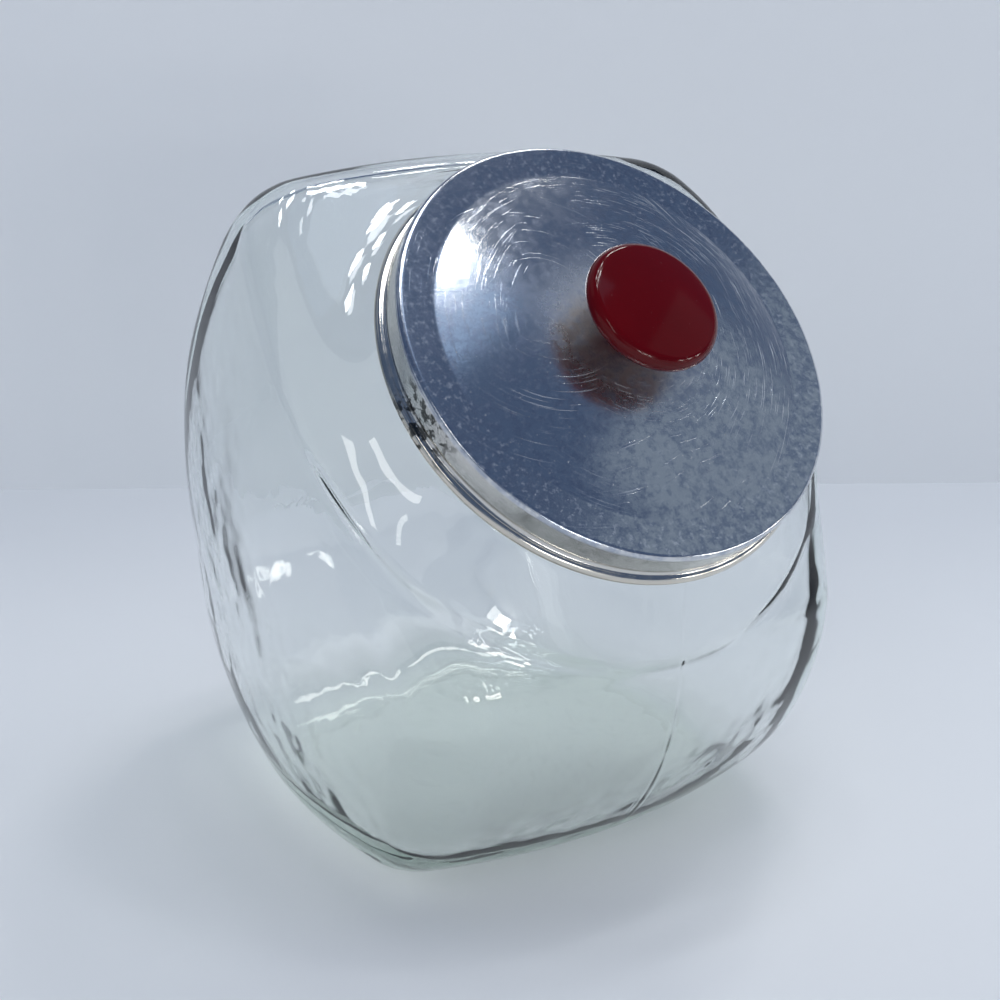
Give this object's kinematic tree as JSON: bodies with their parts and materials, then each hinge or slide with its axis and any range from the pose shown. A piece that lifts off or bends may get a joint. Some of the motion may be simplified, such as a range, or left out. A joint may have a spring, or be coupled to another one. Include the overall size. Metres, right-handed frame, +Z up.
{
  "type": "candy jar",
  "caption": "Slant-front glass counter jar: a bowed square bowl whose round mouth faces up and forward under a loose sheet metal lid with a round knob.",
  "frame": {"origin": "centre of the flat base's underside", "axes": "+Z up, -Y to the front where the mouth faces, +X to the jar's right as seen from the front"},
  "size_m": [0.1782, 0.2029, 0.2027],
  "materials": {
    "clear_glass": "clear moulded glass with a faint green tint, slightly wavy",
    "lid_metal": "plated sheet, worn and mottled, finely scratched",
    "knob_plastic": "polished dark red"
  },
  "bodies": {
    "root": {"glass_jar": "clear_glass", "lid": "lid_metal", "knob": "knob_plastic"}
  },
  "joints": []
}
